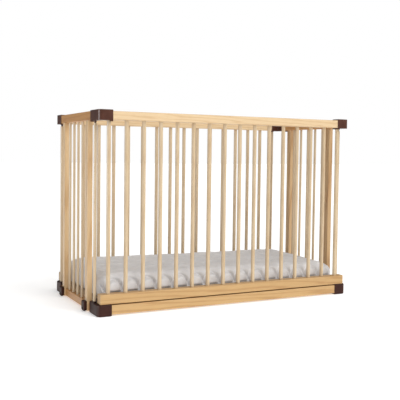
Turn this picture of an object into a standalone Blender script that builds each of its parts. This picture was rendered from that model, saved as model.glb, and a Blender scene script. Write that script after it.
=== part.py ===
"""A wooden playpen: four barred sides on a low base, moulded corner pieces, and a mattress.

The origin is on the floor, under the middle of the playpen. +X runs along the length to the
right-hand end, -Y is the front, and +Z is up. Everything is in metres.
"""

from math import cos, pi, sin

import bmesh
import bpy
from mathutils import Matrix, Vector

# Overall size, over the corner pieces.
LENGTH = 1.240
DEPTH = 0.640
HEIGHT = 0.840
GAP = 0.0003  # between neighbouring pieces
OVERSHOOT = 0.010  # how far a cutter stands out of what it cuts
ROOT = 0.004  # how far a moulded feature runs into its piece before the two are joined
SHARP_ANGLE = 0.6

# Long rails, front and back. Each is set in a little from the face of the corner pieces.
RAIL_INSET = 0.003
RAIL_DEPTH = 0.040
RAIL_EDGE = 0.003
TOP_RAIL_Z = (0.7985, 0.8345)
LOWER_RAIL_Z = (0.0493, 0.0905)
BASE_RAIL_Z = (0.006, 0.045)
LOWER_RAIL_LENGTH = 1.216

# Bars of the long sides.
BAR_COUNT = 16
BAR_PITCH = 0.0759
BAR_RADIUS = 0.0085
BAR_SOCKET = 0.012
SIDES = 12  # facets round a bar or slat

# End frames. Their stiles stand a little proud of the corner pieces.
END_RAIL_THICKNESS = 0.020
END_TOP_RAIL_Z = (0.799, 0.837)
END_LOW_RAIL_Z = (0.003, 0.037)
STILE_PROUD = 0.004
STILE_THICKNESS = 0.022
STILE_WIDTH = 0.031
STILE_Y = 0.1745
SLAT_COUNT = 5
SLAT_PITCH = 0.0635
SLAT_RADIUS = 0.006

# Corner pieces. Two that are opposite across the pen reach further along the ends than the others.
CORNER_LENGTH = 0.062
LONG_REACH = 0.112
SHORT_REACH = 0.078
CORNER_WALL = 0.003
CORNER_RADIUS = 0.018
CORNER_STEPS = 5
RAIL_TIP_DEPTH = 0.014  # from the end of a long rail to the outside of its corner pieces
CAP_Z = (0.7925, HEIGHT)
CAP_LIP_HEIGHT = 0.004
CAP_LIP_WIDTH = 0.009
CAP_EDGE = 0.002
BLOCK_Z = (0.0, 0.049)
BLOCK_EDGE = 0.004

# Corner bars, which stand on the blocks and hang on a spigot under each cap.
CORNER_BAR_X = 0.6115
CORNER_BAR_RADIUS = 0.0065
CORNER_BAR_Y = 0.252
CORNER_BAR_TOP = 0.7865
CORNER_BAR_SOCKET = 0.008
COLLAR_RADIUS = 0.0084
COLLAR_HEIGHT = 0.006
LUG_X = (0.599, 0.609)
LUG_Y = (0.264, 0.276)
LUG_HEIGHT = 0.020
SPIGOT_RADIUS = 0.004
SPIGOT_LENGTH = 0.020

# Base board and mattress.
BOARD_Z = (0.0333, 0.0445)
BOARD_LEDGE = 0.012
BOARD_CLEARANCE = 0.0005
MATTRESS_SIZE = (1.180, 0.544, 0.1035)
MATTRESS_BOTTOM = 0.0465
MATTRESS_CORNER = 0.022
MATTRESS_STEPS = 3

# Transport rollers at the left-hand end.
ROLLER_RADIUS = 0.0075
ROLLER_WIDTH = 0.014
ROLLER_AXLE_RADIUS = 0.0025
ROLLER_AXLE_LENGTH = 0.023
ROLLER_CLEARANCE = 0.001  # above the floor
ROLLER_CROWN = 0.0015
ROLLER_STEPS = 20
WHEEL_ROOM = 0.0008  # beside the wheel
WHEEL_HEADROOM = 0.0015
AXLE_SET_BACK = 0.0005
HOUSING_THICKNESS = 0.015
HOUSING_WIDTH = 0.036
HOUSING_Z = (0.004, 0.045)
HOUSING_EDGE = 0.003

HALF_LENGTH = LENGTH / 2
HALF_DEPTH = DEPTH / 2
RAIL_OUTER_Y = HALF_DEPTH - RAIL_INSET
RAIL_INNER_Y = RAIL_OUTER_Y - RAIL_DEPTH
RAIL_Y = (RAIL_OUTER_Y + RAIL_INNER_Y) / 2
RAIL_END_X = HALF_LENGTH - RAIL_TIP_DEPTH
END_OUTER_X = HALF_LENGTH - RAIL_INSET
END_INNER_X = END_OUTER_X - END_RAIL_THICKNESS
END_X = (END_OUTER_X + END_INNER_X) / 2
ARM_INNER_Y = RAIL_INNER_Y - CORNER_WALL - GAP
ARM_INNER_X = END_INNER_X - CORNER_WALL
END_RAIL_TIP_Y = ARM_INNER_Y - GAP
STILE_OUTER_X = HALF_LENGTH + STILE_PROUD

WOOD = ("pine", (0.80, 0.60, 0.36, 1.0), 0.5)
PLASTIC = ("brown_plastic", (0.10, 0.04, 0.03, 1.0), 0.45)
FABRIC = ("grey_sheet", (0.58, 0.55, 0.54, 1.0), 0.9)
BOARD = ("birch_board", (0.72, 0.58, 0.40, 1.0), 0.6)


def clear_scene():
    for obj in list(bpy.data.objects):
        bpy.data.objects.remove(obj, do_unlink=True)


def new_collection(name):
    collection = bpy.data.collections.new(name)
    bpy.context.scene.collection.children.link(collection)
    return collection


def material(finish):
    name, colour, roughness = finish
    found = bpy.data.materials.get(name)
    if found:
        return found
    made = bpy.data.materials.new(name)
    made.use_nodes = True
    shader = made.node_tree.nodes["Principled BSDF"]
    shader.inputs["Base Color"].default_value = colour
    shader.inputs["Roughness"].default_value = roughness
    shader.inputs["Metallic"].default_value = 0.0
    return made


def add_object(name, mesh, finish=None):
    """Puts a mesh in the scene: a part when it has a finish, and a hidden cutter when it hasn't."""
    obj = bpy.data.objects.new(name, mesh)
    if finish:
        parts.objects.link(obj)
        mesh.materials.append(material(finish))
    else:
        cutters.objects.link(obj)
        obj.hide_render = True
        obj.display_type = "WIRE"
    return obj


def mesh_from(bm, name):
    bmesh.ops.recalc_face_normals(bm, faces=bm.faces)
    mesh = bpy.data.meshes.new(name)
    bm.to_mesh(mesh)
    bm.free()
    return mesh


def box(name, low, high, finish=None):
    """A box between two corners, with its origin at its middle."""
    low, high = Vector(map(min, zip(low, high))), Vector(map(max, zip(low, high)))
    bm = bmesh.new()
    bmesh.ops.create_cube(bm, size=1.0)
    bmesh.ops.scale(bm, vec=high - low, verts=bm.verts)
    obj = add_object(name, mesh_from(bm, name), finish)
    obj.location = (low + high) / 2
    return obj


def cylinder(name, radius, low, high, finish=None, facets=SIDES):
    """A cylinder from one point to another, along X, Y or Z."""
    low, high = Vector(low), Vector(high)
    along = high - low
    bm = bmesh.new()
    bmesh.ops.create_cone(
        bm, cap_ends=True, segments=facets, radius1=radius, radius2=radius, depth=along.length
    )
    turn = Vector((0, 0, 1)).rotation_difference(along).to_matrix()
    bmesh.ops.rotate(bm, matrix=turn, verts=bm.verts)
    obj = add_object(name, mesh_from(bm, name), finish)
    obj.location = (low + high) / 2
    return obj


def prism(name, outline, low_z, high_z, finish=None):
    """A flat outline of (x, y) points, drawn as a filled curve and made a closed mesh."""
    curve = bpy.data.curves.new(name, "CURVE")
    curve.dimensions = "2D"
    curve.fill_mode = "BOTH"
    curve.extrude = (high_z - low_z) / 2
    spline = curve.splines.new("POLY")
    spline.points.add(len(outline) - 1)
    for point, (x, y) in zip(spline.points, outline):
        point.co = (x, y, 0, 1)
    spline.use_cyclic_u = True
    drawn = bpy.data.objects.new(name + "_outline", curve)
    bpy.context.scene.collection.objects.link(drawn)
    bpy.context.view_layer.update()
    mesh = bpy.data.meshes.new_from_object(
        drawn.evaluated_get(bpy.context.evaluated_depsgraph_get())
    )
    bpy.data.objects.remove(drawn, do_unlink=True)
    bm = bmesh.new()
    bm.from_mesh(mesh)
    bpy.data.meshes.remove(mesh)
    bmesh.ops.remove_doubles(bm, verts=bm.verts, dist=1e-6)
    bmesh.ops.dissolve_limit(bm, angle_limit=0.001, verts=bm.verts, edges=bm.edges)
    obj = add_object(name, mesh_from(bm, name), finish)
    obj.location = (0, 0, (low_z + high_z) / 2)
    return obj


def soften(obj, width, segments=2):
    bevel = obj.modifiers.new("soft_edges", "BEVEL")
    bevel.width = width
    bevel.segments = segments
    bevel.limit_method = "ANGLE"
    bevel.angle_limit = SHARP_ANGLE


def combine(obj, other, operation):
    boolean = obj.modifiers.new(f"{operation.lower()}_{other.name}", "BOOLEAN")
    boolean.object = other
    boolean.operation = operation
    boolean.solver = "EXACT"


def cut(obj, *others):
    for other in others:
        combine(obj, other, "DIFFERENCE")


def join(obj, *others):
    for other in others:
        combine(obj, other, "UNION")


def shade_smooth(obj):
    obj.data.shade_smooth()
    obj.data.set_sharp_from_angle(angle=SHARP_ANGLE)


def bar_x(number):
    """The place along the length of a bar, counted from 1 at the left-hand end."""
    return (number - (BAR_COUNT + 1) / 2) * BAR_PITCH


def bar_holes(name, y, low_z, high_z):
    """One cutter that holds a hole for each bar of a long side."""
    radius = BAR_RADIUS + GAP
    bm = bmesh.new()
    for number in range(1, BAR_COUNT + 1):
        place = Matrix.Translation((bar_x(number), y, (low_z + high_z) / 2))
        bmesh.ops.create_cone(
            bm, cap_ends=True, segments=SIDES, radius1=radius, radius2=radius,
            depth=high_z - low_z, matrix=place,
        )
    return add_object(name, mesh_from(bm, name))


def long_rail(name, side, span_z, half_length):
    """A rail of the front (side -1) or the back (side +1)."""
    rail = box(
        name,
        (-half_length, side * RAIL_INNER_Y, span_z[0]),
        (half_length, side * RAIL_OUTER_Y, span_z[1]),
        WOOD,
    )
    soften(rail, RAIL_EDGE)
    return rail


def long_side(label, side):
    """The top rail, lower rail, base rail and bars of the front or the back."""
    y = side * RAIL_Y
    top = long_rail(f"{label}_top_rail", side, TOP_RAIL_Z, RAIL_END_X)
    lower = long_rail(f"{label}_lower_rail", side, LOWER_RAIL_Z, LOWER_RAIL_LENGTH / 2)
    base = long_rail(f"{label}_base_rail", side, BASE_RAIL_Z, RAIL_END_X)
    socket_top = TOP_RAIL_Z[0] + BAR_SOCKET
    socket_bottom = LOWER_RAIL_Z[1] - BAR_SOCKET
    cut(top, bar_holes(f"{label}_top_holes", y, TOP_RAIL_Z[0] - OVERSHOOT, socket_top))
    cut(lower, bar_holes(f"{label}_low_holes", y, socket_bottom, LOWER_RAIL_Z[1] + OVERSHOOT))
    ledge = box(
        f"{label}_ledge_cut",
        (-HALF_LENGTH + CORNER_LENGTH, side * (RAIL_INNER_Y - OVERSHOOT), BOARD_Z[0] - GAP),
        (HALF_LENGTH - CORNER_LENGTH, side * (RAIL_INNER_Y + BOARD_LEDGE), BASE_RAIL_Z[1] + OVERSHOOT),
    )
    cut(base, ledge)
    for number in range(1, BAR_COUNT + 1):
        x = bar_x(number)
        bar = cylinder(
            f"{label}_bar_{number:02d}", BAR_RADIUS,
            (x, y, socket_bottom + GAP), (x, y, socket_top - GAP), WOOD,
        )
        shade_smooth(bar)


def end_frame(label, side):
    """An end, glued up from two rails, two stiles and the thin slats between them."""
    inner, outer = side * END_INNER_X, side * END_OUTER_X
    frame = box(
        f"{label}_end_frame",
        (inner, -END_RAIL_TIP_Y, END_TOP_RAIL_Z[0]),
        (outer, END_RAIL_TIP_Y, END_TOP_RAIL_Z[1]),
        WOOD,
    )
    soften(frame, RAIL_EDGE)
    low_rail = box(
        f"{label}_end_low_rail",
        (inner, -END_RAIL_TIP_Y, END_LOW_RAIL_Z[0]),
        (outer, END_RAIL_TIP_Y, END_LOW_RAIL_Z[1]),
    )
    soften(low_rail, RAIL_EDGE)
    stile_inner = side * (STILE_OUTER_X - STILE_THICKNESS)
    for where, y in (("front", -STILE_Y), ("back", STILE_Y)):
        stile = box(
            f"{label}_{where}_stile",
            (stile_inner, y - STILE_WIDTH / 2, END_LOW_RAIL_Z[0]),
            (side * STILE_OUTER_X, y + STILE_WIDTH / 2, END_TOP_RAIL_Z[0] + ROOT),
        )
        join(frame, stile)
    join(frame, low_rail)
    for number in range(SLAT_COUNT):
        y = (number - (SLAT_COUNT - 1) / 2) * SLAT_PITCH
        slat = cylinder(
            f"{label}_slat_{number + 1}", SLAT_RADIUS,
            (side * END_X, y, END_LOW_RAIL_Z[1] - ROOT),
            (side * END_X, y, END_TOP_RAIL_Z[0] + ROOT),
        )
        join(frame, slat)


def corner_outline(side_x, side_y, reach):
    """An L in plan: one arm along the long rail, one along the end rail, the outer corner round."""
    outer_x, outer_y = HALF_LENGTH, HALF_DEPTH
    arc = []
    for step in range(CORNER_STEPS + 1):
        angle = pi / 2 * step / CORNER_STEPS
        arc.append((
            outer_x - CORNER_RADIUS + CORNER_RADIUS * sin(angle),
            outer_y - CORNER_RADIUS + CORNER_RADIUS * cos(angle),
        ))
    points = [(outer_x - CORNER_LENGTH, outer_y)] + arc
    points += [
        (outer_x, outer_y - reach),
        (ARM_INNER_X, outer_y - reach),
        (ARM_INNER_X, ARM_INNER_Y),
        (outer_x - CORNER_LENGTH, ARM_INNER_Y),
    ]
    return [(side_x * x, side_y * y) for x, y in points]


def rail_pockets(name, side_x, side_y, reach, long_z, end_z):
    """Two blind pockets, one for the end of a long rail and one for the end of an end rail."""
    long_pocket = box(
        f"{name}_long_pocket",
        (side_x * (RAIL_END_X + GAP), side_y * (RAIL_OUTER_Y + GAP), long_z[0] - GAP),
        (side_x * (HALF_LENGTH - CORNER_LENGTH - OVERSHOOT), side_y * (RAIL_INNER_Y - GAP), long_z[1] + GAP),
    )
    end_pocket = box(
        f"{name}_end_pocket",
        (side_x * (END_OUTER_X + GAP), side_y * (END_RAIL_TIP_Y + GAP), end_z[0] - GAP),
        (side_x * (END_INNER_X - GAP), side_y * (HALF_DEPTH - reach - OVERSHOOT), end_z[1] + GAP),
    )
    return long_pocket, end_pocket


def corner_cap(label, side_x, side_y, reach):
    """A top corner: a moulded sleeve over both rail ends, with a lip round each of its mouths."""
    name = f"{label}_cap"
    cap = prism(name, corner_outline(side_x, side_y, reach), *CAP_Z, PLASTIC)
    soften(cap, CAP_EDGE)
    relief = box(
        f"{name}_relief",
        (side_x * (HALF_LENGTH + OVERSHOOT), side_y * (HALF_DEPTH + OVERSHOOT), CAP_Z[0] - OVERSHOOT),
        (
            side_x * (HALF_LENGTH - CORNER_LENGTH + CAP_LIP_WIDTH),
            side_y * (HALF_DEPTH - reach + CAP_LIP_WIDTH),
            CAP_Z[0] + CAP_LIP_HEIGHT,
        ),
    )
    end_bar = side_x * bar_x(BAR_COUNT)
    bar_notch = cylinder(
        f"{name}_bar_notch", BAR_RADIUS + GAP,
        (end_bar, side_y * RAIL_Y, CAP_Z[0] - OVERSHOOT),
        (end_bar, side_y * RAIL_Y, TOP_RAIL_Z[0] + OVERSHOOT),
    )
    cut(cap, relief, bar_notch)
    cut(cap, *rail_pockets(name, side_x, side_y, reach, TOP_RAIL_Z, END_TOP_RAIL_Z))
    x, y = side_x * CORNER_BAR_X, side_y * CORNER_BAR_Y
    spigot_top = CAP_Z[0] + ROOT + CAP_EDGE
    spigot = cylinder(
        f"{name}_spigot", SPIGOT_RADIUS, (x, y, CORNER_BAR_TOP - SPIGOT_LENGTH / 2), (x, y, spigot_top)
    )
    join(cap, spigot)


def corner_block(label, side_x, side_y, reach):
    """A bottom corner: a moulded foot that takes both base rails, with a collar for the corner bar
    and a lug that the end of the lower rail stands against."""
    name = f"{label}_block"
    block = prism(name, corner_outline(side_x, side_y, reach), *BLOCK_Z, PLASTIC)
    soften(block, BLOCK_EDGE)
    x, y = side_x * CORNER_BAR_X, side_y * CORNER_BAR_Y
    socket = cylinder(
        f"{name}_socket", CORNER_BAR_RADIUS + GAP,
        (x, y, BLOCK_Z[1] - CORNER_BAR_SOCKET), (x, y, BLOCK_Z[1] + OVERSHOOT),
    )
    lug = box(
        f"{name}_lug",
        (side_x * LUG_X[0], side_y * LUG_Y[0], BLOCK_Z[1] - ROOT),
        (side_x * LUG_X[1], side_y * LUG_Y[1], BLOCK_Z[1] + LUG_HEIGHT),
    )
    collar = cylinder(
        f"{name}_collar", COLLAR_RADIUS,
        (x, y, BLOCK_Z[1] - ROOT), (x, y, BLOCK_Z[1] + COLLAR_HEIGHT),
    )
    join(block, lug, collar)
    cut(block, socket, *rail_pockets(name, side_x, side_y, reach, BASE_RAIL_Z, END_LOW_RAIL_Z))


def corner_bar(label, side_x, side_y):
    """The bar that stands between a corner block and the cap above it."""
    x, y = side_x * CORNER_BAR_X, side_y * CORNER_BAR_Y
    bar = cylinder(
        f"{label}_corner_bar", CORNER_BAR_RADIUS,
        (x, y, BLOCK_Z[1] - CORNER_BAR_SOCKET + GAP), (x, y, CORNER_BAR_TOP), WOOD,
    )
    bore = cylinder(
        f"{label}_corner_bar_bore", SPIGOT_RADIUS + GAP,
        (x, y, CORNER_BAR_TOP - SPIGOT_LENGTH / 2 - GAP), (x, y, CORNER_BAR_TOP + OVERSHOOT),
    )
    cut(bar, bore)
    shade_smooth(bar)


def base_board():
    """The board that lies on the ledges of the base rails, notched round the corner blocks."""
    ledge_x = HALF_LENGTH - CORNER_LENGTH - 2 * BOARD_CLEARANCE
    ledge_y = RAIL_INNER_Y + BOARD_LEDGE - BOARD_CLEARANCE
    full_x = ARM_INNER_X - BOARD_CLEARANCE
    full_y = ARM_INNER_Y - BOARD_CLEARANCE
    nip = BLOCK_EDGE + 2 * BOARD_CLEARANCE
    quarter = [(ledge_x, ledge_y), (ledge_x, full_y), (full_x - nip, full_y), (full_x, full_y - nip)]
    outline = quarter
    outline = outline + [(x, -y) for x, y in reversed(quarter)]
    outline = outline + [(-x, -y) for x, y in quarter]
    outline = outline + [(-x, y) for x, y in reversed(quarter)]
    prism("base_board", outline, *BOARD_Z, BOARD)


def mattress():
    long, deep, tall = MATTRESS_SIZE
    pad = box(
        "mattress",
        (-long / 2, -deep / 2, MATTRESS_BOTTOM),
        (long / 2, deep / 2, MATTRESS_BOTTOM + tall),
        FABRIC,
    )
    soften(pad, MATTRESS_CORNER, MATTRESS_STEPS)


def turned(name, profile, finish):
    """A solid turned about X from a profile of (radius, place along the axis) points."""
    mesh = bpy.data.meshes.new(name)
    points = [(radius, 0, along) for radius, along in profile]
    edges = [(i, i + 1) for i in range(len(points) - 1)]
    mesh.from_pydata(points, edges, [])
    obj = add_object(name, mesh, finish)
    screw = obj.modifiers.new("turn", "SCREW")
    screw.steps = ROLLER_STEPS
    screw.render_steps = ROLLER_STEPS
    screw.use_merge_vertices = True
    screw.merge_threshold = 1e-5
    screw.use_smooth_shade = True
    return obj


def roller(where, y):
    """A small wheel on moulded axle stubs in a housing screwed to the foot of a stile."""
    inner_x = -STILE_OUTER_X - GAP
    outer_x = inner_x - HOUSING_THICKNESS
    axle_x = inner_x - ROLLER_RADIUS - AXLE_SET_BACK
    axle_z = ROLLER_RADIUS + ROLLER_CLEARANCE
    housing = box(
        f"{where}_roller_housing",
        (outer_x, y - HOUSING_WIDTH / 2, HOUSING_Z[0]),
        (inner_x, y + HOUSING_WIDTH / 2, HOUSING_Z[1]),
        PLASTIC,
    )
    soften(housing, HOUSING_EDGE)
    slot_half = ROLLER_WIDTH / 2 + WHEEL_ROOM
    slot = box(
        f"{where}_roller_slot",
        (outer_x - OVERSHOOT, y - slot_half, HOUSING_Z[0] - OVERSHOOT),
        (inner_x + OVERSHOOT, y + slot_half, axle_z + ROLLER_RADIUS + WHEEL_HEADROOM),
    )
    bore = cylinder(
        f"{where}_roller_bore", ROLLER_AXLE_RADIUS + GAP,
        (axle_x, y - HOUSING_WIDTH, axle_z), (axle_x, y + HOUSING_WIDTH, axle_z), facets=ROLLER_STEPS,
    )
    cut(housing, slot, bore)
    half_width, half_axle = ROLLER_WIDTH / 2, ROLLER_AXLE_LENGTH / 2
    profile = [
        (0, half_axle), (ROLLER_AXLE_RADIUS, half_axle), (ROLLER_AXLE_RADIUS, half_width),
        (ROLLER_RADIUS - ROLLER_CROWN, half_width), (ROLLER_RADIUS, half_width - ROLLER_CROWN),
        (ROLLER_RADIUS, ROLLER_CROWN - half_width), (ROLLER_RADIUS - ROLLER_CROWN, -half_width),
        (ROLLER_AXLE_RADIUS, -half_width), (ROLLER_AXLE_RADIUS, -half_axle), (0, -half_axle),
    ]
    wheel = turned(f"{where}_roller", profile, PLASTIC)
    wheel.location = (axle_x, y, axle_z)
    wheel.rotation_euler = (pi / 2, 0, 0)


def build():
    long_side("front", -1)
    long_side("back", 1)
    for label, side in (("left", -1), ("right", 1)):
        end_frame(label, side)
        for where, side_y in (("front", -1), ("back", 1)):
            corner = f"{where}_{label}"
            reach = LONG_REACH if side == side_y else SHORT_REACH
            corner_cap(corner, side, side_y, reach)
            corner_block(corner, side, side_y, reach)
            corner_bar(corner, side, side_y)
    base_board()
    mattress()
    roller("front", -STILE_Y)
    roller("back", STILE_Y)


clear_scene()
parts = new_collection("playpen")
cutters = new_collection("cutters")
build()
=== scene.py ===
"""The playpen as it looks: smooth turned bars, grained wood, moulded corners and a sheeted mattress."""

from math import cos, pi, radians, sin

import bmesh
import bpy
import numpy as np
from mathutils import Matrix, Vector, noise


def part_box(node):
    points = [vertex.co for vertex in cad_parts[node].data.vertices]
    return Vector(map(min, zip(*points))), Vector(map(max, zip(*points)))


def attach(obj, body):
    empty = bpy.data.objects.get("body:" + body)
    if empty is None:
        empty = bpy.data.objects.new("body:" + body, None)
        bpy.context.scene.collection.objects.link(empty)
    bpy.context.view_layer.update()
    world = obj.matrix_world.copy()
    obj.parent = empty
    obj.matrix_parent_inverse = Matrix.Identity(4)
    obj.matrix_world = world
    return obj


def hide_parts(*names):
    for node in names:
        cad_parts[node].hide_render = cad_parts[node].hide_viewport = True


# Places and sizes that the frame doesn't give on their own, in metres.
GAP = 0.0003
BAR_COUNT = 16
BAR_PITCH = 0.0759
BAR_SOCKET = 0.012
BAR_RADIUS = 0.0085
CORNER_BAR_RADIUS = 0.0065
SIDES = 32
CAP_FLOOR = 0.002
CAP_LIP_HEIGHT = 0.004
CAP_LIP_WIDTH = 0.009
RELIEF_REACH = (0.1, 0.2)
CORNER_RADIUS = 0.018
CORNER_WALL = 0.003
CORNER_BAR_SOCKET = 0.008
COLLAR_RADIUS = 0.0084
COLLAR_HEIGHT = 0.006
COLLAR_CLEAR = 0.02
LUG_HEIGHT = 0.020
LUG_X = (0.599, 0.609)
LUG_Y = (0.264, 0.276)
LUG_ROOT = 0.004
SPIGOT_RADIUS = 0.004
SPIGOT_LENGTH = 0.020
SPIGOT_ROOT = 0.002
STILE_Y = 0.1745
STILE_WIDTH = 0.031
STILE_THICKNESS = 0.022
STILE_ROOT = 0.0005
END_RAIL_THICKNESS = 0.020
SLAT_PITCH = 0.0635
SLAT_COUNT = 5
SLAT_RADIUS = 0.006
END_RAIL_HEIGHTS = {"top": 0.038, "low": 0.034}
LEDGE = 0.012
OVERSHOOT = 0.010

# The softened edges of each kind of piece, as a width and a number of segments.
LONG_RAIL_EDGE = (0.0035, 4)
BASE_RAIL_EDGE = (0.003, 4)
END_RAIL_EDGE = (0.003, 4)
STILE_EDGE = (0.0015, 3)
BAR_EDGE = (0.0008, 2)
CORNER_BAR_EDGE = (0.0012, 3)
CAP_EDGE = (0.0025, 4)
BLOCK_EDGE = (0.0045, 5)
LUG_EDGE = (0.0012, 2)
WHEEL_EDGE = (0.0014, 4)
HOUSING_EDGE = (0.0045, 5)
EDGE_ANGLE = 0.6
SMOOTH_ANGLE = 0.55
CORNER_STEPS = 12

# The rollers.
WHEEL_SIDES = 48
HALF_WHEEL = 0.007
AXLE_RADIUS = 0.0025
WHEEL_SIDE_ROOM = 0.0008
WHEEL_TOP_ROOM = 0.0015

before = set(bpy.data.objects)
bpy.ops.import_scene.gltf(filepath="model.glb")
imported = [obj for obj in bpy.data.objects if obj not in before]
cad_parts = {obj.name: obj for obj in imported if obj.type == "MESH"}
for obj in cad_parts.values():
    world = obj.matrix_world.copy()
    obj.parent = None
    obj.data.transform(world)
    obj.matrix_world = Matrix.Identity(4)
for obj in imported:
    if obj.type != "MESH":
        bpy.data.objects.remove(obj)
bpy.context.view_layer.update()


# ---------------------------------------------------------------- finishes

def shader_of(name):
    material = bpy.data.materials.new(name)
    material.use_nodes = True
    nodes = material.node_tree.nodes
    return material, nodes, material.node_tree.links, nodes["Principled BSDF"]


def add_node(nodes, kind, **values):
    """Makes a node, and sets its inputs by name, or its properties where it has no such input."""
    node = nodes.new(kind)
    for key, value in values.items():
        label = key.replace("_", " ")
        if label in node.inputs:
            node.inputs[label].default_value = value
        else:
            setattr(node, key, value)
    return node


def ramp(nodes, *stops):
    node = nodes.new("ShaderNodeValToRGB")
    elements = node.color_ramp.elements
    while len(elements) < len(stops):
        elements.new(0.5)
    for element, (place, colour) in zip(elements, stops):
        element.position = place
        element.color = (*colour, 1.0)
    return node


def mix(nodes, links, factor, a, b, blend="MIX"):
    """Mixes two colours. Each of the three is a socket or a plain value."""
    node = nodes.new("ShaderNodeMix")
    node.data_type = "RGBA"
    node.blend_type = blend
    for place, value in ((0, factor), (6, a), (7, b)):
        if isinstance(value, bpy.types.NodeSocket):
            links.new(value, node.inputs[place])
        else:
            node.inputs[place].default_value = value
    return node.outputs[2]


GRAIN_STRETCH = 0.045
WOOD_ROUGHNESS = (0.36, 0.52)


def wood(name, along, tone, shift=0.0, ring_scale=40.0, contrast=0.45):
    """Pale lacquered pine whose grain runs along one axis: growth rings, fibres and a drift in tone."""
    material, nodes, links, shader = shader_of(name)
    place = add_node(nodes, "ShaderNodeTexCoord")
    stretch = [1.0, 1.0, 1.0]
    stretch["XYZ".index(along)] = GRAIN_STRETCH
    offset = (shift, shift * 0.7, shift * 1.3)
    mapping = add_node(nodes, "ShaderNodeMapping", Scale=stretch, Location=offset)
    links.new(place.outputs["Object"], mapping.inputs["Vector"])
    rings = add_node(
        nodes, "ShaderNodeTexWave", wave_type="RINGS" if along == "Z" else "BANDS",
        Scale=ring_scale, Distortion=7.0, Detail=3.0, Detail_Scale=1.4, Detail_Roughness=0.55,
    )
    rings.bands_direction = "DIAGONAL"
    drift = add_node(nodes, "ShaderNodeTexNoise", Scale=13.0, Detail=2.0, Roughness=0.5)
    fibre = add_node(nodes, "ShaderNodeTexNoise", Scale=650.0, Detail=3.0, Roughness=0.6)
    for texture in (rings, drift, fibre):
        links.new(mapping.outputs["Vector"], texture.inputs["Vector"])
    middle = [c * f for c, f in zip(tone, (0.93, 0.87, 0.80))]
    dark = [c * f for c, f in zip(tone, (0.76, 0.65, 0.54))]
    grain = ramp(nodes, (0.0, tone), (0.50, tone), (0.80, middle), (1.0, dark))
    links.new(rings.outputs["Fac"], grain.inputs["Fac"])
    tint = ramp(nodes, (0.30, (1.0, 0.97, 0.92)), (0.72, (0.90, 0.83, 0.74)))
    links.new(drift.outputs["Fac"], tint.inputs["Fac"])
    base = mix(nodes, links, contrast, (*tone, 1.0), grain.outputs["Color"])
    toned = mix(nodes, links, 0.85, base, tint.outputs["Color"], "MULTIPLY")
    speck = ramp(nodes, (0.30, (0.86, 0.82, 0.76)), (0.55, (1.0, 1.0, 1.0)))
    links.new(fibre.outputs["Fac"], speck.inputs["Fac"])
    colour = mix(nodes, links, 0.6, toned, speck.outputs["Color"], "MULTIPLY")
    links.new(colour, shader.inputs["Base Color"])
    rough = add_node(nodes, "ShaderNodeMapRange", To_Min=WOOD_ROUGHNESS[0], To_Max=WOOD_ROUGHNESS[1])
    links.new(fibre.outputs["Fac"], rough.inputs["Value"])
    links.new(rough.outputs["Result"], shader.inputs["Roughness"])
    bump = add_node(nodes, "ShaderNodeBump", Strength=0.18, Distance=0.0003)
    links.new(fibre.outputs["Fac"], bump.inputs["Height"])
    links.new(bump.outputs["Normal"], shader.inputs["Normal"])
    shader.inputs["Coat Weight"].default_value = 0.18
    shader.inputs["Coat Roughness"].default_value = 0.28
    return material


def plastic(name, colour, roughness, specular=0.2):
    """Moulded plastic with a fine spark-eroded texture and a faint cloudiness."""
    material, nodes, links, shader = shader_of(name)
    place = add_node(nodes, "ShaderNodeTexCoord")
    cloud = add_node(nodes, "ShaderNodeTexNoise", Scale=28.0, Detail=3.0)
    pitting = add_node(nodes, "ShaderNodeTexNoise", Scale=1500.0, Detail=2.0)
    for texture in (cloud, pitting):
        links.new(place.outputs["Object"], texture.inputs["Vector"])
    shade = ramp(nodes, (0.35, [c * 0.88 for c in colour]), (0.70, [c * 1.14 for c in colour]))
    links.new(cloud.outputs["Fac"], shade.inputs["Fac"])
    links.new(shade.outputs["Color"], shader.inputs["Base Color"])
    rough = add_node(nodes, "ShaderNodeMapRange", To_Min=roughness - 0.06, To_Max=roughness + 0.08)
    links.new(cloud.outputs["Fac"], rough.inputs["Value"])
    links.new(rough.outputs["Result"], shader.inputs["Roughness"])
    bump = add_node(nodes, "ShaderNodeBump", Strength=0.25, Distance=0.0002)
    links.new(pitting.outputs["Fac"], bump.inputs["Height"])
    links.new(bump.outputs["Normal"], shader.inputs["Normal"])
    shader.inputs["Specular IOR Level"].default_value = specular
    return material


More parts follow.
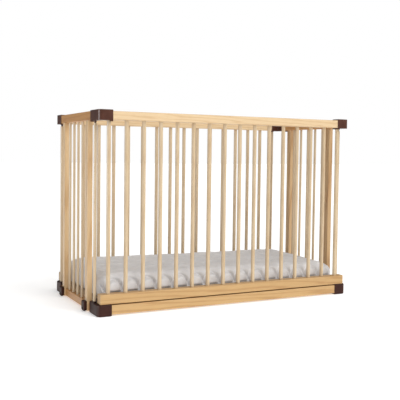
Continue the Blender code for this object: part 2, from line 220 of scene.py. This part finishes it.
def cotton(name):
    """Grey cotton: a fine plain weave, faintly mottled, with a soft sheen."""
    material, nodes, links, shader = shader_of(name)
    place = add_node(nodes, "ShaderNodeTexCoord")
    mottle = add_node(nodes, "ShaderNodeTexNoise", Scale=22.0, Detail=5.0, Roughness=0.6)
    fuzz = add_node(nodes, "ShaderNodeTexNoise", Scale=420.0, Detail=2.0)
    for texture in (mottle, fuzz):
        links.new(place.outputs["Object"], texture.inputs["Vector"])
    shade = ramp(nodes, (0.30, (0.665, 0.650, 0.650)), (0.72, (0.755, 0.740, 0.738)))
    links.new(mottle.outputs["Fac"], shade.inputs["Fac"])
    speck = ramp(nodes, (0.35, (0.90, 0.90, 0.90)), (0.60, (1.0, 1.0, 1.0)))
    links.new(fuzz.outputs["Fac"], speck.inputs["Fac"])
    colour = mix(nodes, links, 0.7, shade.outputs["Color"], speck.outputs["Color"], "MULTIPLY")
    links.new(colour, shader.inputs["Base Color"])
    height = None
    for direction in "XYZ":
        threads = add_node(nodes, "ShaderNodeTexWave", Scale=285.0, Distortion=0.6, Detail=1.0)
        threads.bands_direction = direction
        links.new(place.outputs["Object"], threads.inputs["Vector"])
        if height is None:
            height = threads.outputs["Fac"]
            continue
        total = add_node(nodes, "ShaderNodeMath", operation="ADD")
        links.new(height, total.inputs[0])
        links.new(threads.outputs["Fac"], total.inputs[1])
        height = total.outputs["Value"]
    bump = add_node(nodes, "ShaderNodeBump", Strength=0.3, Distance=0.0003)
    links.new(height, bump.inputs["Height"])
    links.new(bump.outputs["Normal"], shader.inputs["Normal"])
    shader.inputs["Roughness"].default_value = 0.92
    shader.inputs["Sheen Weight"].default_value = 0.25
    shader.inputs["Sheen Roughness"].default_value = 0.5
    return material


WOOD_TOP = wood("pine_top_rail", "X", (0.78, 0.60, 0.375))
WOOD_LOW = wood("pine_low_rail", "X", (0.590, 0.390, 0.175), shift=3.1, ring_scale=26.0, contrast=0.7)
# The end rails' wood is darker and more orange than the other rails: painted shade, standing in for the shade
# on their outward faces.
PAINTED_SHADE_END_WOOD = wood("painted_shade_end_rail_pine", "Y", (0.63, 0.325, 0.100), shift=1.7, ring_scale=26.0, contrast=0.6)
WOOD_BAR = wood("pine_bar", "Z", (0.655, 0.525, 0.355), shift=0.4, ring_scale=34.0, contrast=0.32)
# Lit and shaded copies of the stile wood: the left stiles' copy is made lighter, painted light, and the right
# stiles' copy darker, painted shade.
PAINTED_LIGHT_STILE_WOOD = wood("painted_light_stile_pine", "Z", (0.81, 0.590, 0.345), shift=2.6, ring_scale=22.0, contrast=0.6)
PAINTED_SHADE_STILE_WOOD = wood("painted_shade_stile_pine", "Z", (0.60, 0.410, 0.215), shift=5.2, ring_scale=20.0, contrast=0.9)
WOOD_BOARD = wood("birch_board_face", "X", (0.66, 0.50, 0.33), shift=8.0, ring_scale=14.0)
BLOCK_PLASTIC = plastic("brown_moulded", (0.044, 0.013, 0.008), 0.46)
CAP_PLASTIC = plastic("brown_moulded_cap", (0.084, 0.030, 0.018), 0.33, 0.22)
WHEEL_PLASTIC = plastic("dark_moulded", (0.026, 0.012, 0.009), 0.45)
COTTON = cotton("grey_cotton")


# ---------------------------------------------------------------- making pieces

def link(name, mesh):
    obj = bpy.data.objects.new(name, mesh)
    bpy.context.scene.collection.objects.link(obj)
    return obj


def to_mesh(bm, name):
    bmesh.ops.recalc_face_normals(bm, faces=bm.faces)
    mesh = bpy.data.meshes.new(name)
    bm.to_mesh(mesh)
    bm.free()
    return mesh


def block(name, low, high):
    """A box between two corners, given in either order."""
    low, high = Vector(map(min, zip(low, high))), Vector(map(max, zip(low, high)))
    bm = bmesh.new()
    bmesh.ops.create_cube(bm, size=1.0)
    bmesh.ops.scale(bm, vec=high - low, verts=bm.verts)
    bmesh.ops.translate(bm, vec=(low + high) / 2, verts=bm.verts)
    return link(name, to_mesh(bm, name))


def rod(name, radius, low, high, sides=SIDES):
    low, high = Vector(low), Vector(high)
    along = high - low
    bm = bmesh.new()
    bmesh.ops.create_cone(
        bm, cap_ends=True, segments=sides, radius1=radius, radius2=radius, depth=along.length
    )
    turn = Vector((0, 0, 1)).rotation_difference(along).to_matrix()
    bmesh.ops.rotate(bm, matrix=turn, verts=bm.verts)
    bmesh.ops.translate(bm, vec=(low + high) / 2, verts=bm.verts)
    return link(name, to_mesh(bm, name))


def holes(name, places, radius, low_z, high_z):
    """One cutter that holds an upright hole at each (x, y) place."""
    bm = bmesh.new()
    for x, y in places:
        bmesh.ops.create_cone(
            bm, cap_ends=True, segments=SIDES, radius1=radius, radius2=radius,
            depth=high_z - low_z, matrix=Matrix.Translation((x, y, (low_z + high_z) / 2)),
        )
    return link(name, to_mesh(bm, name))


def prism(name, outline, low_z, high_z):
    bm = bmesh.new()
    face = bm.faces.new([bm.verts.new((x, y, low_z)) for x, y in outline])
    grown = bmesh.ops.extrude_face_region(bm, geom=[face])["geom"]
    top = [item for item in grown if isinstance(item, bmesh.types.BMVert)]
    bmesh.ops.translate(bm, vec=(0, 0, high_z - low_z), verts=top)
    return link(name, to_mesh(bm, name))


def round_edges(obj, edge):
    """Softens the sharp edges by an edge's width and number of segments."""
    bevel = obj.modifiers.new("round_edges", "BEVEL")
    bevel.width, bevel.segments = edge
    bevel.limit_method = "ANGLE"
    bevel.angle_limit = EDGE_ANGLE
    return obj


def combine(obj, operation, *others):
    for other in others:
        boolean = obj.modifiers.new(operation.lower(), "BOOLEAN")
        boolean.object = other
        boolean.operation = operation
        boolean.solver = "EXACT"
    return obj


def settle(obj, *helpers):
    """Applies the modifiers, removes the helpers they used, and smooths the round faces."""
    bpy.context.view_layer.update()
    graph = bpy.context.evaluated_depsgraph_get()
    mesh = bpy.data.meshes.new_from_object(obj.evaluated_get(graph))
    old = obj.data
    obj.modifiers.clear()
    obj.data = mesh
    mesh.name = obj.name
    bpy.data.meshes.remove(old)
    for helper in helpers:
        bpy.data.objects.remove(helper, do_unlink=True)
    mesh.shade_smooth()
    mesh.set_sharp_from_angle(angle=SMOOTH_ANGLE)
    weighted = obj.modifiers.new("face_weighted", "WEIGHTED_NORMAL")
    weighted.keep_sharp = True
    return obj


def finish(obj, material, slot, body, *nodes):
    """Gives a piece its finish and its body, and hides the CAD nodes that it stands for."""
    obj.data.materials.clear()
    obj.data.materials.append(material)
    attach(obj, body)
    if nodes:
        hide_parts(*nodes)
    return obj


# ---------------------------------------------------------------- the wooden sides

def bar_x(number):
    return (number - (BAR_COUNT + 1) / 2) * BAR_PITCH


def bar(node):
    """A smooth round bar in the place of its CAD node."""
    low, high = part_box(node)
    middle = (low + high) / 2
    radius = (high.x - low.x) / 2
    piece = rod(f"{node}_turned", radius, (middle.x, middle.y, low.z), (middle.x, middle.y, high.z))
    round_edges(piece, BAR_EDGE)
    settle(piece)
    return finish(piece, WOOD_BAR, "pine", "pen", node)


def long_side(label):
    top_low, top_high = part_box(f"{label}_top_rail")
    low_low, low_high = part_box(f"{label}_lower_rail")
    base_low, base_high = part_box(f"{label}_base_rail")
    y = (top_low.y + top_high.y) / 2
    side = -1 if y < 0 else 1
    places = [(bar_x(number), y) for number in range(1, BAR_COUNT + 1)]
    radius = BAR_RADIUS + GAP
    top = round_edges(block(f"{label}_top_rail_wood", top_low, top_high), LONG_RAIL_EDGE)
    socket = holes("top_holes", places, radius, top_low.z - OVERSHOOT, top_low.z + BAR_SOCKET)
    lower = round_edges(block(f"{label}_lower_rail_wood", low_low, low_high), LONG_RAIL_EDGE)
    foot = holes("low_holes", places, radius, low_high.z - BAR_SOCKET, low_high.z + OVERSHOOT)
    settle(combine(top, "DIFFERENCE", socket), socket)
    settle(combine(lower, "DIFFERENCE", foot), foot)
    base = round_edges(block(f"{label}_base_rail_wood", base_low, base_high), BASE_RAIL_EDGE)
    board_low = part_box("base_board")[0]
    block_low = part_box(f"{label}_right_block")[0]
    inner = side * min(abs(base_low.y), abs(base_high.y))
    ledge = block(
        "ledge_cut",
        (-block_low.x, inner - side * OVERSHOOT, board_low.z - GAP),
        (block_low.x, inner + side * LEDGE, base_high.z + OVERSHOOT),
    )
    settle(combine(base, "DIFFERENCE", ledge), ledge)
    finish(top, WOOD_TOP, "pine", "pen", f"{label}_top_rail")
    finish(lower, WOOD_LOW, "pine", "pen", f"{label}_lower_rail")
    finish(base, WOOD_LOW, "pine", "pen", f"{label}_base_rail")
    for number in range(1, BAR_COUNT + 1):
        bar(f"{label}_bar_{number:02d}")


def end_frame(label):
    """An end: two rails, two stiles and five slats, each its own piece of wood."""
    node = f"{label}_end_frame"
    low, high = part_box(node)
    side = -1 if label == "left" else 1
    outer = side * max(abs(low.x), abs(high.x))
    inner = side * min(abs(low.x), abs(high.x))
    face = inner + side * END_RAIL_THICKNESS
    stile_inner = outer - side * STILE_THICKNESS
    heights = {
        "top": (high.z - END_RAIL_HEIGHTS["top"], high.z),
        "low": (low.z, low.z + END_RAIL_HEIGHTS["low"]),
    }
    for where, (bottom, top) in heights.items():
        rail = block(f"{label}_end_{where}_rail_wood", (inner, low.y, bottom), (face, high.y, top))
        round_edges(rail, END_RAIL_EDGE)
        settle(rail)
        # The end rails take the darker wood, painted shade.
        finish(rail, PAINTED_SHADE_END_WOOD, "pine", "pen", node)
    for where, y in (("front", -STILE_Y), ("back", STILE_Y)):
        stile = block(
            f"{label}_{where}_stile_wood",
            (stile_inner, y - STILE_WIDTH / 2, low.z),
            (outer, y + STILE_WIDTH / 2, heights["top"][0] + STILE_ROOT),
        )
        round_edges(stile, STILE_EDGE)
        settle(stile)
        # Left stiles take the lighter copy of the stile wood (painted light), right stiles the darker copy
        # (painted shade).
        finish(stile, PAINTED_LIGHT_STILE_WOOD if side < 0 else PAINTED_SHADE_STILE_WOOD, "pine", "pen", node)
    x = (inner + face) / 2
    for number in range(SLAT_COUNT):
        y = (number - (SLAT_COUNT - 1) / 2) * SLAT_PITCH
        slat = rod(
            f"{label}_slat_{number + 1}_turned", SLAT_RADIUS,
            (x, y, heights["low"][1] - OVERSHOOT), (x, y, heights["top"][0] + OVERSHOOT),
        )
        settle(slat)
        finish(slat, WOOD_BAR, "pine", "pen", node)


# ---------------------------------------------------------------- moulded pieces

def corner_outline(side_x, side_y, low, high, arm_x, arm_y):
    """An L in plan round the box from low to high, with its outer corner rounded."""
    outer_x = max(abs(low.x), abs(high.x))
    outer_y = max(abs(low.y), abs(high.y))
    inner_x = min(abs(low.x), abs(high.x))
    inner_y = min(abs(low.y), abs(high.y))
    points = [(inner_x, outer_y)]
    for step in range(CORNER_STEPS + 1):
        angle = pi / 2 * step / CORNER_STEPS
        points.append((
            outer_x - CORNER_RADIUS + CORNER_RADIUS * sin(angle),
            outer_y - CORNER_RADIUS + CORNER_RADIUS * cos(angle),
        ))
    points += [(outer_x, inner_y), (arm_x, inner_y), (arm_x, arm_y), (inner_x, arm_y)]
    return [(side_x * x, side_y * y) for x, y in points]


def corner_facts(label, kind):
    """The box of a corner piece, its signs, and the inner faces of its two arms."""
    low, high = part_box(f"{label}_{kind}")
    side_x = 1 if low.x > 0 else -1
    side_y = 1 if low.y > 0 else -1
    arm_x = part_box("right_end_frame")[0].x - CORNER_WALL
    arm_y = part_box("back_top_rail")[0].y - CORNER_WALL - GAP
    return low, high, side_x, side_y, arm_x, arm_y


def pockets(label, low, high, side_x, side_y, long_node, end_span):
    """Cutters for the ends of a long rail and an end rail."""
    rail_low, rail_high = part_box(long_node)
    end_low, end_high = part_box("right_end_frame")
    inner_x = min(abs(low.x), abs(high.x))
    inner_y = min(abs(low.y), abs(high.y))
    long_low = min(abs(rail_low.y), abs(rail_high.y))
    long_high = max(abs(rail_low.y), abs(rail_high.y))
    long_pocket = block(
        f"{label}_long_pocket",
        (side_x * (rail_high.x + GAP), side_y * (long_high + GAP), rail_low.z - GAP),
        (side_x * (inner_x - OVERSHOOT), side_y * (long_low - GAP), rail_high.z + GAP),
    )
    face = end_low.x + END_RAIL_THICKNESS
    end_pocket = block(
        f"{label}_end_pocket",
        (side_x * (face + GAP), side_y * (end_high.y + GAP), end_span[0] - GAP),
        (side_x * (end_low.x - GAP), side_y * (inner_y - OVERSHOOT), end_span[1] + GAP),
    )
    return [long_pocket, end_pocket]


def corner_cap(label):
    low, high, side_x, side_y, arm_x, arm_y = corner_facts(label, "cap")
    bar_low, bar_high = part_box(f"{label}_corner_bar")
    x, y = (bar_low.x + bar_high.x) / 2, (bar_low.y + bar_high.y) / 2
    rail_low, rail_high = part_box("back_top_rail")
    end_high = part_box("right_end_frame")[1].z
    bottom = rail_low.z - CAP_FLOOR - CAP_LIP_HEIGHT
    inner_x = min(abs(low.x), abs(high.x))
    inner_y = min(abs(low.y), abs(high.y))
    outline = corner_outline(side_x, side_y, low, high, arm_x, arm_y)
    cap = prism(f"{label}_cap_moulded", outline, bottom, high.z)
    round_edges(cap, CAP_EDGE)
    relief = block(
        "relief",
        (side_x * (abs(x) + RELIEF_REACH[0]), side_y * (abs(y) + RELIEF_REACH[1]), bottom - OVERSHOOT),
        (side_x * (inner_x + CAP_LIP_WIDTH), side_y * (inner_y + CAP_LIP_WIDTH), bottom + CAP_LIP_HEIGHT),
    )
    rail_y = side_y * (rail_low.y + rail_high.y) / 2
    last_bar = side_x * bar_x(BAR_COUNT)
    notch_low, notch_high = bottom - OVERSHOOT, rail_low.z + OVERSHOOT
    notch = rod("notch", BAR_RADIUS + GAP, (last_bar, rail_y, notch_low), (last_bar, rail_y, notch_high))
    end_span = (end_high - END_RAIL_HEIGHTS["top"], end_high)
    cutters = [relief, notch, *pockets(label, low, high, side_x, side_y, "back_top_rail", end_span)]
    combine(cap, "DIFFERENCE", *cutters)
    spigot = rod("spigot", SPIGOT_RADIUS, (x, y, bar_high.z - SPIGOT_LENGTH / 2),
                 (x, y, bottom + CAP_LIP_HEIGHT + SPIGOT_ROOT))
    settle(combine(cap, "UNION", spigot), spigot, *cutters)
    finish(cap, CAP_PLASTIC, "brown_plastic", "pen", f"{label}_cap")


def corner_block(label):
    low, high, side_x, side_y, arm_x, arm_y = corner_facts(label, "block")
    bar_low, bar_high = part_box(f"{label}_corner_bar")
    x, y = (bar_low.x + bar_high.x) / 2, (bar_low.y + bar_high.y) / 2
    top = high.z - LUG_HEIGHT
    outline = corner_outline(side_x, side_y, low, high, arm_x, arm_y)
    foot = prism(f"{label}_block_moulded", outline, low.z, top)
    round_edges(foot, BLOCK_EDGE)
    lug = block(
        "lug",
        (side_x * LUG_X[0], side_y * LUG_Y[0], top - LUG_ROOT),
        (side_x * LUG_X[1], side_y * LUG_Y[1], high.z),
    )
    round_edges(lug, LUG_EDGE)
    collar = rod("collar", COLLAR_RADIUS, (x, y, top - LUG_ROOT), (x, y, top + COLLAR_HEIGHT))
    combine(foot, "UNION", lug, collar)
    end_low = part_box("right_end_frame")[0].z
    end_span = (end_low, end_low + END_RAIL_HEIGHTS["low"])
    socket_low, socket_high = top - CORNER_BAR_SOCKET, top + COLLAR_CLEAR
    socket = rod("socket", CORNER_BAR_RADIUS + GAP, (x, y, socket_low), (x, y, socket_high))
    cutters = [socket, *pockets(label, low, high, side_x, side_y, "back_base_rail", end_span)]
    settle(combine(foot, "DIFFERENCE", *cutters), lug, collar, *cutters)
    finish(foot, BLOCK_PLASTIC, "brown_plastic", "pen", f"{label}_block")


def corner_bar(label):
    node = f"{label}_corner_bar"
    low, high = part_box(node)
    x, y = (low.x + high.x) / 2, (low.y + high.y) / 2
    piece = rod(f"{node}_turned", CORNER_BAR_RADIUS, (x, y, low.z), (x, y, high.z))
    round_edges(piece, CORNER_BAR_EDGE)
    bore_low, bore_high = high.z - SPIGOT_LENGTH / 2 - GAP, high.z + OVERSHOOT
    bore = rod("bore", SPIGOT_RADIUS + GAP, (x, y, bore_low), (x, y, bore_high))
    settle(combine(piece, "DIFFERENCE", bore), bore)
    finish(piece, WOOD_BAR, "pine", "pen", node)


def roller(label):
    """A wheel on its axle stubs, and the moulded housing that holds it."""
    low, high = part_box(f"{label}_roller")
    middle = (low + high) / 2
    radius = (high.z - low.z) / 2
    half_wheel = Vector((0, HALF_WHEEL, 0))
    half_axle = Vector((0, (high.y - low.y) / 2, 0))
    wheel = rod(f"{label}_roller_moulded", radius, middle - half_wheel, middle + half_wheel, WHEEL_SIDES)
    round_edges(wheel, WHEEL_EDGE)
    axle = rod("axle", AXLE_RADIUS, middle - half_axle, middle + half_axle)
    settle(combine(wheel, "UNION", axle), axle)
    finish(wheel, WHEEL_PLASTIC, "brown_plastic", f"{label}_roller", f"{label}_roller")
    low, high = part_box(f"{label}_roller_housing")
    housing = round_edges(block(f"{label}_roller_housing_moulded", low, high), HOUSING_EDGE)
    slot_half = HALF_WHEEL + WHEEL_SIDE_ROOM
    slot = block(
        "slot",
        (low.x - OVERSHOOT, middle.y - slot_half, low.z - OVERSHOOT),
        (high.x + OVERSHOOT, middle.y + slot_half, middle.z + radius + WHEEL_TOP_ROOM),
    )
    bore_low = (middle.x, low.y - OVERSHOOT, middle.z)
    bore_high = (middle.x, high.y + OVERSHOOT, middle.z)
    bore = rod("bore", AXLE_RADIUS + GAP, bore_low, bore_high)
    settle(combine(housing, "DIFFERENCE", slot, bore), slot, bore)
    finish(housing, BLOCK_PLASTIC, "brown_plastic", "pen", f"{label}_roller_housing")


def base_board():
    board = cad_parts["base_board"]
    board.data.materials.clear()
    board.data.materials.append(WOOD_BOARD)


# ---------------------------------------------------------------- mattress

VOXEL = 0.007
SHRINK = 0.004
PAD_EDGE = (0.026, 5)

# The stuffed cloth.
SIM_FRAMES = 20
MOST_SWELL = 0.008
PRESSURE = 4.0
QUALITY = 4
STRETCH_STIFFNESS = 12.0
BEND_STIFFNESS = 0.4

# The top: how high it rises, its ridges, folds and fine creases, and the noise scales that draw them.
TOP_STARTS, TOP_FADES = 0.55, 0.4
CROWN = 0.0065
RIDGE_LIFT = 0.0070
RIDGE_LEVEL = 0.30
FOLD_LIFT = 0.0036
FINE_LIFT = 0.0010
RIDGE_SCALE = (7.0, 26.0, 20.0)
FOLD_SCALE = (13.0, 38.0, 30.0)
FINE_SCALE = (42.0, 75.0, 60.0)
EDGE_FADE_X = 0.10
EDGE_FADE_Y = 0.05
EDGE_SHARE = 0.35

# The lean of the top to the right, and its lower front right corner.
TILT = 0.006
CORNER_DROP = 0.010
CORNER_FADE_X = 0.18
CORNER_START_Y = 0.05
CORNER_FADE_Y = 0.33
LEAN_STARTS, LEAN_FADES = 0.2, 0.8

# The scallops between the bars, stronger to the left, and the creases round them.
SCALLOP_MEAN = 0.62
SCALLOP_SLOPE = 0.30
SCALLOP_BULGE = 0.013
SCALLOP_REACH = 0.050
SCALLOP_FADE = 0.036
SCALLOP_START = 0.086
SCALLOP_RISE = 0.012
ARCH_Z = 0.084
ARCH_HALF_HEIGHT = 0.058
CREASE_DEPTH = 0.0150
CREASE_WIDTH = 0.13
CREASE_DIP = 0.0050
DIP_ARCH = 1.03
DIP_WIDTH = 0.15

# The two ends.
END_BULGE = 0.0070
END_WAVE = 0.0018
END_SCALE = (30.0, 9.0, 22.0)
END_FADE_X = 0.03
END_START_Z = 0.010
END_FADE_Z = 0.020


def padded_block(low, high):
    """A closed, evenly meshed box with soft edges."""
    pad = block("mattress_sheeted", low, high)
    round_edges(pad, PAD_EDGE)
    remesh = pad.modifiers.new("even_mesh", "REMESH")
    remesh.mode = "VOXEL"
    remesh.voxel_size = VOXEL
    bpy.context.view_layer.update()
    graph = bpy.context.evaluated_depsgraph_get()
    mesh = bpy.data.meshes.new_from_object(pad.evaluated_get(graph))
    pad.modifiers.clear()
    pad.data = mesh
    return pad


def coordinates(mesh):
    points = np.empty(len(mesh.vertices) * 3, np.float32)
    mesh.vertices.foreach_get("co", points)
    return points.reshape(-1, 3).astype(np.float64)


def inflate(pad):
    """Swells the pad as stuffed cloth, by no more than MOST_SWELL anywhere."""
    start = coordinates(pad.data)
    cloth = pad.modifiers.new("swell", "CLOTH")
    cloth.settings.use_pressure = True
    cloth.settings.uniform_pressure_force = PRESSURE
    cloth.settings.effector_weights.gravity = 0.0
    cloth.settings.quality = QUALITY
    cloth.settings.tension_stiffness = STRETCH_STIFFNESS
    cloth.settings.bending_stiffness = BEND_STIFFNESS
    cloth.point_cache.frame_end = SIM_FRAMES
    scene = bpy.context.scene
    for number in range(1, SIM_FRAMES + 1):
        scene.frame_set(number)
    graph = bpy.context.evaluated_depsgraph_get()
    swollen = bpy.data.meshes.new_from_object(pad.evaluated_get(graph))
    moved = coordinates(swollen) - start
    length = np.linalg.norm(moved, axis=1, keepdims=True)
    moved *= np.minimum(1.0, MOST_SWELL / np.maximum(length, 1e-9))
    pad.modifiers.clear()
    pad.data.vertices.foreach_set("co", (start + moved).astype(np.float32).ravel())
    bpy.data.meshes.remove(swollen)
    scene.frame_set(1)


def refine(pad):
    smooth = pad.modifiers.new("finer", "SUBSURF")
    smooth.levels = 1
    smooth.render_levels = 1
    bpy.context.view_layer.update()
    graph = bpy.context.evaluated_depsgraph_get()
    mesh = bpy.data.meshes.new_from_object(pad.evaluated_get(graph))
    pad.modifiers.clear()
    pad.data = mesh


def ease(value):
    value = np.clip(value, 0.0, 1.0)
    return value * value * (3 - 2 * value)


def wrinkle_field(points, scale, seed):
    """Smooth noise from -1 to 1 at each point, with its own stretch along each axis."""
    shift = Vector((seed * 17.3, seed * 5.1, seed * 9.7))
    stretch = Vector(scale)
    return np.array([noise.noise(Vector(p) * stretch + shift) for p in points])


def shape_pad(pad, low, high):
    """Lays the pad in its frame: flat below, crowned above, and bulging between the bars."""
    points = coordinates(pad.data)
    x, y, z = points.T
    top, bottom = high.z, low.z
    height = np.clip((z - bottom) / (top - bottom), 0.0, 1.0)
    upper = ease((height - TOP_STARTS) / TOP_FADES)
    half_x, half_y = (high.x - low.x) / 2, (high.y - low.y) / 2
    ridge = np.abs(wrinkle_field(points, RIDGE_SCALE, 1))
    folds = wrinkle_field(points, FOLD_SCALE, 2)
    fine = wrinkle_field(points, FINE_SCALE, 3)
    lift = CROWN + RIDGE_LIFT * (RIDGE_LEVEL - ridge) + FOLD_LIFT * folds + FINE_LIFT * fine
    edge_x = ease((half_x - np.abs(x)) / EDGE_FADE_X)
    edge_y = ease((half_y - np.abs(y)) / EDGE_FADE_Y)
    z = z + upper * lift * (EDGE_SHARE + (1 - EDGE_SHARE) * edge_x * edge_y)
    corner = ease((x - half_x + CORNER_FADE_X) / CORNER_FADE_X) * ease((CORNER_START_Y - y) / CORNER_FADE_Y)
    lean = TILT * x / half_x + CORNER_DROP * corner
    z = z - lean * ease((height - LEAN_STARTS) / LEAN_FADES)
    strength = SCALLOP_MEAN - SCALLOP_SLOPE * x / half_x
    for side in (-1, 1):
        gap_x = (np.abs(x) / BAR_PITCH - np.floor(np.abs(x) / BAR_PITCH + 0.5)) * 2
        arch = np.hypot(gap_x, (z - ARCH_Z) / ARCH_HALF_HEIGHT)
        near = ease((side * y - half_y + SCALLOP_REACH) / SCALLOP_FADE)
        crease = CREASE_DEPTH * np.exp(-((arch - 1.0) / CREASE_WIDTH) ** 2)
        bulge = SCALLOP_BULGE * np.sqrt(np.clip(1 - arch ** 2, 0.0, 1.0)) - crease
        above = ease((z - SCALLOP_START) / SCALLOP_RISE)
        y = y + side * near * bulge * above * strength
        dip = CREASE_DIP * np.exp(-((arch - DIP_ARCH) / DIP_WIDTH) ** 2)
        z = z - near * above * strength * dip
    along = wrinkle_field(points, END_SCALE, 4)
    end_x = ease((np.abs(x) - half_x + END_FADE_X) / END_FADE_X)
    end_face = end_x * ease((z - bottom - END_START_Z) / END_FADE_Z)
    x = x + np.sign(x) * end_face * (END_BULGE + END_WAVE * along)
    z = np.maximum(z, bottom)
    pad.data.vertices.foreach_set("co", np.stack([x, y, z], 1).astype(np.float32).ravel())
    pad.data.update()


def mattress():
    low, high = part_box("mattress")
    inset = Vector((SHRINK, SHRINK, SHRINK))
    pad = padded_block(low + inset, high - inset)
    inflate(pad)
    refine(pad)
    shape_pad(pad, low, high)
    pad.data.shade_smooth()
    finish(pad, COTTON, "grey_sheet", "pen", "mattress")


# ---------------------------------------------------------------- studio

# The camera, in millimetres, metres and radians.
LENS = 64.65
SENSOR_WIDTH = 36.0
LENS_SHIFT = (-0.0646, -0.0312)
CAMERA_PLACE = (-1.51983, -3.09082, 0.66711)
YAW, PITCH, ROLL = 0.49000, 0.04657, 0.01374
FARTHEST = 100.0

# The light all round, as surfaces and as reflections take it, and the floor.
AMBIENT = 0.36
GLOSS_AMBIENT = 0.10
FLOOR_GLOW = 0.40
FLOOR_HALF = 40.0
FLOOR_Z = -0.0005

# A wide key light from the front right.
KEY_STRENGTH = 2.3
KEY_ANGLE = 60.0
KEY_FROM = (0.35, -0.66, 0.66)

# An upright light at the left that only shows in reflections, as the glint on the corner pieces.
STRIP_POWER = 170.0
STRIP_SIZE = (1.4, 1.8)
STRIP_PLACE = (-3.80, -0.45, 0.9)
STRIP_FROM = (-1.0, -0.3, 0.0)


def camera():
    """A three-quarter view from the left, at chest height, with the lens a little off centre."""
    data = bpy.data.cameras.new("camera")
    data.lens = LENS
    data.sensor_width = SENSOR_WIDTH
    data.shift_x, data.shift_y = LENS_SHIFT
    data.clip_end = FARTHEST
    obj = bpy.data.objects.new("camera", data)
    bpy.context.scene.collection.objects.link(obj)
    aim = Matrix.Rotation(-YAW, 4, "Z") @ Matrix.Rotation(pi / 2 - PITCH, 4, "X")
    turn = aim @ Matrix.Rotation(ROLL, 4, "Z")
    obj.matrix_world = Matrix.Translation(CAMERA_PLACE) @ turn
    bpy.context.scene.camera = obj


def studio():
    """A white sweep: soft light from the front right, and a backdrop that the camera sees as white."""
    scene = bpy.context.scene
    scene.view_settings.view_transform = "Standard"
    world = bpy.data.worlds.new("studio")
    scene.world = world
    world.use_nodes = True
    nodes, links = world.node_tree.nodes, world.node_tree.links
    seen = nodes["Background"]
    seen.inputs["Color"].default_value = (1.0, 1.0, 1.0, 1.0)
    lighting = add_node(nodes, "ShaderNodeBackground", Color=(1.0, 1.0, 1.0, 1.0))
    path = nodes.new("ShaderNodeLightPath")
    dimmed = add_node(nodes, "ShaderNodeMapRange", To_Min=AMBIENT, To_Max=GLOSS_AMBIENT)
    links.new(path.outputs["Is Glossy Ray"], dimmed.inputs["Value"])
    links.new(dimmed.outputs["Result"], lighting.inputs["Strength"])
    either = nodes.new("ShaderNodeMixShader")
    links.new(path.outputs["Is Camera Ray"], either.inputs["Fac"])
    links.new(lighting.outputs["Background"], either.inputs[1])
    links.new(seen.outputs["Background"], either.inputs[2])
    links.new(either.outputs["Shader"], nodes["World Output"].inputs["Surface"])
    material, nodes, links, shader = shader_of("pale_floor")
    shader.inputs["Base Color"].default_value = (0.92, 0.92, 0.92, 1.0)
    shader.inputs["Roughness"].default_value = 0.9
    shader.inputs["Specular IOR Level"].default_value = 0.0
    shader.inputs["Emission Color"].default_value = (1.0, 1.0, 1.0, 1.0)
    shader.inputs["Emission Strength"].default_value = FLOOR_GLOW
    bm = bmesh.new()
    under = Matrix.Translation((0.0, 0.0, FLOOR_Z))
    bmesh.ops.create_grid(bm, x_segments=1, y_segments=1, size=FLOOR_HALF, matrix=under)
    floor = link("floor", to_mesh(bm, "floor"))
    floor.data.materials.append(material)
    sun = bpy.data.lights.new("key", "SUN")
    sun.energy = KEY_STRENGTH
    sun.angle = radians(KEY_ANGLE)
    key = bpy.data.objects.new("key", sun)
    scene.collection.objects.link(key)
    key.rotation_euler = Vector(KEY_FROM).to_track_quat("Z", "Y").to_euler()
    strip = bpy.data.lights.new("strip", "AREA")
    strip.shape = "RECTANGLE"
    strip.size, strip.size_y = STRIP_SIZE
    strip.energy = STRIP_POWER
    left = bpy.data.objects.new("strip", strip)
    scene.collection.objects.link(left)
    left.location = STRIP_PLACE
    left.rotation_euler = Vector(STRIP_FROM).to_track_quat("Z", "Y").to_euler()
    left.visible_diffuse = False


for side in ("front", "back"):
    long_side(side)
for end in ("left", "right"):
    end_frame(end)
    for side in ("front", "back"):
        corner_cap(f"{side}_{end}")
        corner_block(f"{side}_{end}")
        corner_bar(f"{side}_{end}")
for side in ("front", "back"):
    roller(side)
base_board()
mattress()
camera()
studio()
